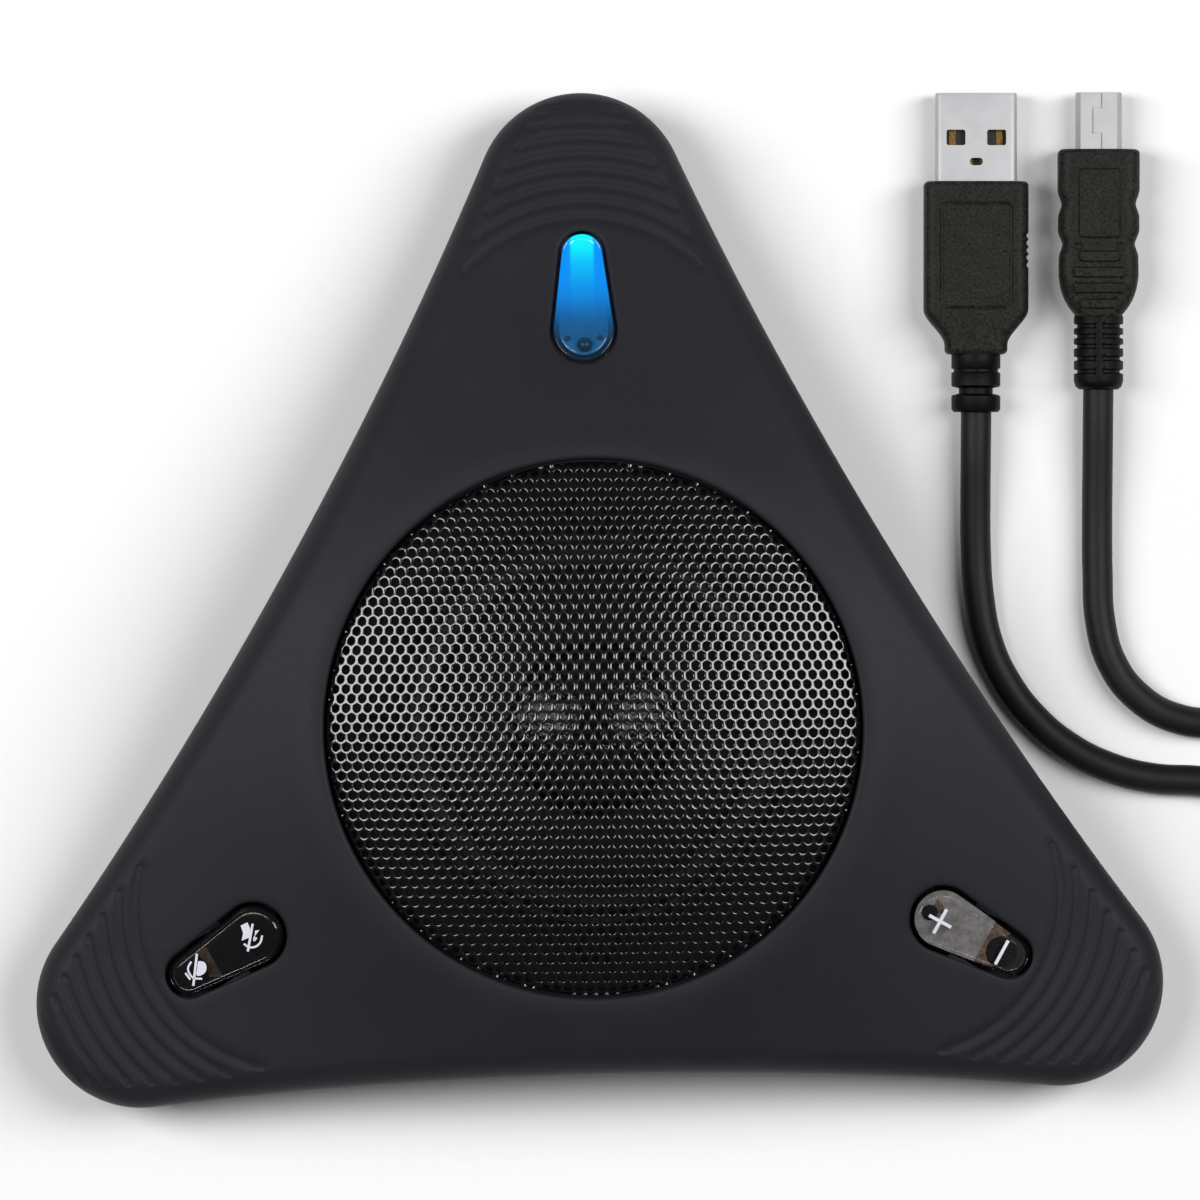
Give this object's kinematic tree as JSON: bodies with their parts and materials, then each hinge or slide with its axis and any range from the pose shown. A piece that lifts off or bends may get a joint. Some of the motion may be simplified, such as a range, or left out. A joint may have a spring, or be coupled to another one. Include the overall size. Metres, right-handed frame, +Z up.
{
  "type": "conference speakerphone",
  "caption": "Three-lobed desktop speakerphone with a domed round grille, two rocker keys, a status light, ribbed grips and a loose cable with both plugs.",
  "frame": {"origin": "on the table plane, under the axis of the loudspeaker and of the foot ring", "axes": "+Z up along the loudspeaker's axis; +Y towards the lobe with the status light; +X to the right, so the mute rocker is at 210 degrees and the volume rocker at 330 degrees; the cable's socket faces -Y"},
  "size_m": [0.2572, 0.1476, 0.0362],
  "materials": {
    "shell_charcoal": "soft satin with a fine moulded grain",
    "grille_black": "satin black enamel",
    "foot_rubber": "matte",
    "inner_rubber": "matte",
    "lens_blue": "clear gloss, lit from below",
    "key_smoke": "smoked gloss",
    "inner_black": "matte",
    "board_green": "solder mask",
    "led_white": "clear gloss",
    "switch_black": "matte",
    "plunger_cream": "matte",
    "steel": "nickel plated",
    "basket_steel": "black zinc",
    "ferrite": "fired ceramic magnet",
    "copper": "enamelled wire",
    "cone_paper": "coated paper",
    "dust_cap_black": "gloss",
    "spider_cloth": "resin treated cloth",
    "chip_black": "moulded epoxy",
    "can_aluminium": "bare can",
    "cord_black": "satin jacket",
    "tie_black": "woven strap",
    "contact_gold": "gold flash",
    "plug_black": "grained overmould",
    "insulator_black": "matte"
  },
  "bodies": {
    "root": {"top_cover": "shell_charcoal", "bottom_cover": "shell_charcoal", "speaker_grille": "grille_black", "foot_ring": "foot_rubber", "light_lens": "lens_blue", "light_holder": "inner_black", "light_board": "board_green", "light_led": "led_white", "light_sensor": "inner_black", "mute_board": "board_green", "mute_switches": "switch_black", "volume_board": "board_green", "volume_switches": "switch_black", "light_microphone": "steel", "mute_microphone": "steel", "volume_microphone": "steel", "light_mic_boot": "inner_rubber", "mute_mic_boot": "inner_rubber", "volume_mic_boot": "inner_rubber", "speaker_basket": "basket_steel", "speaker_magnet": "ferrite", "speaker_top_plate": "steel", "speaker_yoke": "steel", "speaker_surround": "inner_rubber", "speaker_spider": "spider_cloth", "speaker_gasket": "inner_rubber", "speaker_screws": "steel", "main_board": "board_green", "audio_chip": "chip_black", "codec_chip": "chip_black", "capacitors": "can_aluminium", "board_connectors": "plunger_cream", "usb_socket": "steel", "board_screws": "steel", "case_screws": "steel", "cord_lead_usb": "cord_black", "cord_lead_mini": "cord_black", "cord_coil": "cord_black", "cord_tie": "tie_black", "usb_plug_shell": "steel", "usb_plug_tongue": "plunger_cream", "usb_plug_contacts": "contact_gold", "usb_plug_overmould": "plug_black", "usb_plug_relief": "plug_black", "mini_plug_shell": "steel", "mini_plug_tongue": "insulator_black", "mini_plug_overmould": "plug_black", "mini_plug_relief": "plug_black"},
    "mute_rocker": {"mute_key_cap": "key_smoke", "mute_key_carrier": "inner_black"},
    "volume_rocker": {"volume_key_cap": "key_smoke", "volume_key_carrier": "inner_black"},
    "mute_inner_button": {"mute_plunger_inner": "plunger_cream"},
    "mute_outer_button": {"mute_plunger_outer": "plunger_cream"},
    "volume_inner_button": {"volume_plunger_inner": "plunger_cream"},
    "volume_outer_button": {"volume_plunger_outer": "plunger_cream"},
    "speaker_cone_group": {"speaker_voice_coil": "copper", "speaker_cone": "cone_paper", "speaker_dust_cap": "dust_cap_black"}
  },
  "joints": [
    {"name": "mute_rocker_tilt", "type": "hinge", "parent": "root", "child": "mute_rocker", "pos_m": [-0.05534, -0.03195, 0.0184], "axis": [-0.5, 0.866, 0], "range_deg": [-2, 2], "stiffness_Nm_per_rad": 0.4},
    {"name": "volume_rocker_tilt", "type": "hinge", "parent": "root", "child": "volume_rocker", "pos_m": [0.05534, -0.03195, 0.0184], "axis": [-0.5, -0.866, 0], "range_deg": [-2, 2], "stiffness_Nm_per_rad": 0.4},
    {"name": "mute_inner_press", "type": "slide", "parent": "root", "child": "mute_inner_button", "axis": [0, 0, -1], "range_m": [0, 0.00025], "stiffness_N_per_m": 4000},
    {"name": "mute_outer_press", "type": "slide", "parent": "root", "child": "mute_outer_button", "axis": [0, 0, -1], "range_m": [0, 0.00025], "stiffness_N_per_m": 4000},
    {"name": "volume_inner_press", "type": "slide", "parent": "root", "child": "volume_inner_button", "axis": [0, 0, -1], "range_m": [0, 0.00025], "stiffness_N_per_m": 4000},
    {"name": "volume_outer_press", "type": "slide", "parent": "root", "child": "volume_outer_button", "axis": [0, 0, -1], "range_m": [0, 0.00025], "stiffness_N_per_m": 4000},
    {"name": "speaker_cone_travel", "type": "slide", "parent": "root", "child": "speaker_cone_group", "axis": [0, 0, 1], "range_m": [-0.001, 0.001], "stiffness_N_per_m": 1500, "deforming": ["speaker_surround", "speaker_spider"]}
  ]
}
